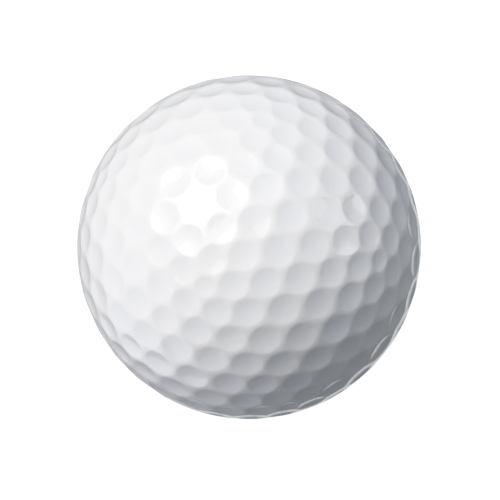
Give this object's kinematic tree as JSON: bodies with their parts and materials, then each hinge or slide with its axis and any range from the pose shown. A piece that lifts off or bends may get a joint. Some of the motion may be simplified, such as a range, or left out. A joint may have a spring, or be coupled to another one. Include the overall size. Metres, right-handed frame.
{
  "type": "golf ball",
  "caption": "Multi-layer golf ball: solid rubber core, rubber and ionomer layers, and a white dimpled cover, each moulded as half shells.",
  "frame": {"origin": "centre of the ball", "axes": "+Z through a pole dimple, one corner of the icosahedral dimple pattern; the cover parts on the plane z = 0, the outer mantle on x = 0 and the inner mantle on y = 0"},
  "size_m": [0.0426, 0.0424, 0.0426],
  "materials": {
    "inner_core_rubber": "compression-moulded polybutadiene rubber, satin",
    "outer_core_rubber": "compression-moulded polybutadiene rubber, satin",
    "inner_mantle_ionomer": "moulded ionomer, satin, slightly translucent",
    "outer_mantle_ionomer": "moulded ionomer, satin, slightly translucent",
    "painted_cover": "moulded white cover with white paint and a clear gloss coat"
  },
  "bodies": {
    "root": {"inner_core": "inner_core_rubber", "outer_core_upper": "outer_core_rubber", "outer_core_lower": "outer_core_rubber", "inner_mantle_front": "inner_mantle_ionomer", "inner_mantle_rear": "inner_mantle_ionomer", "outer_mantle_left": "outer_mantle_ionomer", "outer_mantle_right": "outer_mantle_ionomer", "cover_upper": "painted_cover", "cover_lower": "painted_cover"}
  },
  "joints": []
}
